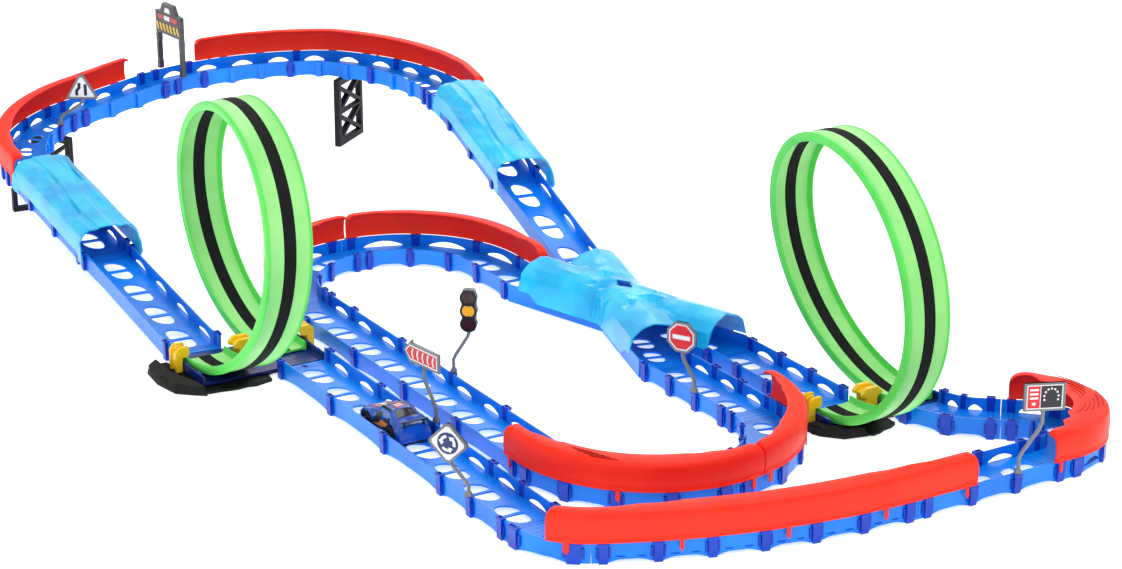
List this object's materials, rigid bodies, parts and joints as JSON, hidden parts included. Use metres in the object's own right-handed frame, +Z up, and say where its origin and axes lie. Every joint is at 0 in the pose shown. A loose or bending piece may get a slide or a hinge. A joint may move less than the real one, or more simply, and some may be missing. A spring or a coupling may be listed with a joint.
{
  "type": "slot car track set",
  "caption": "Clip-together plastic track with vertical loops, a raised half, a covered crossing, curve guards, road signs, a gate and one small battery car.",
  "frame": {"origin": "on the floor, under the middle of the set's footprint", "axes": "+X along the parallel lanes towards the front curves, +Y across the lanes towards the far lane, +Z up"},
  "size_m": [1.3298, 0.658, 0.2565],
  "materials": {
    "blue_plastic": "gloss, slightly see-through",
    "red_plastic": "gloss",
    "green_plastic": "gloss, with a black matte stripe",
    "cyan_clear_plastic": "gloss, see-through",
    "black_plastic": "matte",
    "navy_plastic": "satin",
    "yellow_plastic": "gloss",
    "grey_plastic": "satin, with printed plates",
    "car_blue": "gloss, with black, orange and white patches",
    "tyre": "matte",
    "metal_can": "brushed"
  },
  "bodies": {
    "track": {"crossing_track": "blue_plastic", "curve_corner_left": "blue_plastic", "curve_corner_right": "blue_plastic", "curve_front_left": "blue_plastic", "curve_front_right": "blue_plastic", "curve_rear_left": "blue_plastic", "curve_rear_right": "blue_plastic", "guard_corner_right": "red_plastic", "guard_front_left": "red_plastic", "guard_front_right": "red_plastic", "guard_front_sweep": "red_plastic", "guard_raised_left": "red_plastic", "guard_raised_right": "red_plastic", "guard_rear_left": "red_plastic", "guard_rear_right": "red_plastic", "latch_left_middle": "yellow_plastic", "latch_right_middle": "yellow_plastic", "loop_base_left": "black_plastic", "loop_base_right": "black_plastic", "loop_deck_left": "navy_plastic", "loop_deck_right": "navy_plastic", "loop_left": "green_plastic", "loop_right": "green_plastic", "raised_curve_left": "blue_plastic", "raised_curve_right": "blue_plastic", "raised_straight": "blue_plastic", "ramp_down": "blue_plastic", "ramp_up_lower": "blue_plastic", "ramp_up_upper": "blue_plastic", "support_low": "black_plastic", "track_far": "blue_plastic", "track_front_right": "blue_plastic", "track_front_sweep": "blue_plastic", "track_inner": "blue_plastic", "track_loop_exit": "blue_plastic", "track_near": "blue_plastic", "track_outer": "blue_plastic", "trestle_left": "black_plastic", "trestle_right": "black_plastic"},
    "car": {"car_body": "car_blue", "car_chassis": "black_plastic", "car_motor": "metal_can", "car_battery": "metal_can"},
    "car_front_axle": {"car_wheels_front": "tyre"},
    "car_rear_axle": {"car_wheels_rear": "tyre"},
    "latch_left_near_piece": {"latch_left_near": "yellow_plastic"},
    "latch_left_far_piece": {"latch_left_far": "yellow_plastic"},
    "latch_right_near_piece": {"latch_right_near": "yellow_plastic"},
    "latch_right_far_piece": {"latch_right_far": "yellow_plastic"},
    "sign_arrow_piece": {"sign_arrow": "grey_plastic"},
    "sign_diamond_piece": {"sign_diamond": "grey_plastic"},
    "sign_octagon_piece": {"sign_octagon": "grey_plastic"},
    "sign_panel_piece": {"sign_panel": "grey_plastic"},
    "sign_triangle_piece": {"sign_triangle": "grey_plastic"},
    "traffic_light_piece": {"traffic_light": "grey_plastic"},
    "gate_piece": {"gate": "grey_plastic"},
    "tunnel_left_piece": {"tunnel_left": "cyan_clear_plastic"},
    "tunnel_right_piece": {"tunnel_right": "cyan_clear_plastic"},
    "crossing_cover_piece": {"crossing_cover": "cyan_clear_plastic"}
  },
  "joints": [
    {"name": "car_drive", "type": "slide", "parent": "track", "child": "car", "axis": [-1, 0, 0], "range_m": [-0.19, 0.135]},
    {"name": "front_axle_spin", "type": "hinge", "parent": "car", "child": "car_front_axle", "pos_m": [0.246, -0.198, 0.01335], "axis": [0, -1, 0], "continuous": true},
    {"name": "rear_axle_spin", "type": "hinge", "parent": "car", "child": "car_rear_axle", "pos_m": [0.292, -0.198, 0.01335], "axis": [0, -1, 0], "continuous": true},
    {"name": "latch_left_near_swing", "type": "hinge", "parent": "track", "child": "latch_left_near_piece", "pos_m": [0.032, -0.3046, 0.0034], "axis": [1, 0, 0], "range_deg": [0, 45]},
    {"name": "latch_left_far_swing", "type": "hinge", "parent": "track", "child": "latch_left_far_piece", "pos_m": [0.038, -0.1654, 0.0034], "axis": [-1, 0, 0], "range_deg": [0, 18]},
    {"name": "latch_right_near_swing", "type": "hinge", "parent": "track", "child": "latch_right_near_piece", "pos_m": [0.435, 0.1234, 0.0034], "axis": [1, 0, 0], "range_deg": [0, 20]},
    {"name": "latch_right_far_swing", "type": "hinge", "parent": "track", "child": "latch_right_far_piece", "pos_m": [0.435, 0.2626, 0.0034], "axis": [-1, 0, 0], "range_deg": [0, 45]},
    {"name": "sign_arrow_lift", "type": "slide", "parent": "track", "child": "sign_arrow_piece", "axis": [0, 0, 1], "range_m": [0, 0.02]},
    {"name": "sign_diamond_lift", "type": "slide", "parent": "track", "child": "sign_diamond_piece", "axis": [0, 0, 1], "range_m": [0, 0.02]},
    {"name": "sign_octagon_lift", "type": "slide", "parent": "track", "child": "sign_octagon_piece", "axis": [0, 0, 1], "range_m": [0, 0.02]},
    {"name": "sign_panel_lift", "type": "slide", "parent": "track", "child": "sign_panel_piece", "axis": [0, 0, 1], "range_m": [0, 0.02]},
    {"name": "sign_triangle_lift", "type": "slide", "parent": "track", "child": "sign_triangle_piece", "axis": [0, 0, 1], "range_m": [0, 0.02]},
    {"name": "traffic_light_lift", "type": "slide", "parent": "track", "child": "traffic_light_piece", "axis": [0, 0, 1], "range_m": [0, 0.02]},
    {"name": "gate_lift", "type": "slide", "parent": "track", "child": "gate_piece", "axis": [0, 0, 1], "range_m": [0, 0.03]},
    {"name": "tunnel_left_lift", "type": "slide", "parent": "track", "child": "tunnel_left_piece", "axis": [0, 0, 1], "range_m": [0, 0.03]},
    {"name": "tunnel_right_lift", "type": "slide", "parent": "track", "child": "tunnel_right_piece", "axis": [0, 0, 1], "range_m": [0, 0.03]},
    {"name": "crossing_cover_lift", "type": "slide", "parent": "track", "child": "crossing_cover_piece", "axis": [0, 0, 1], "range_m": [0, 0.03]}
  ]
}
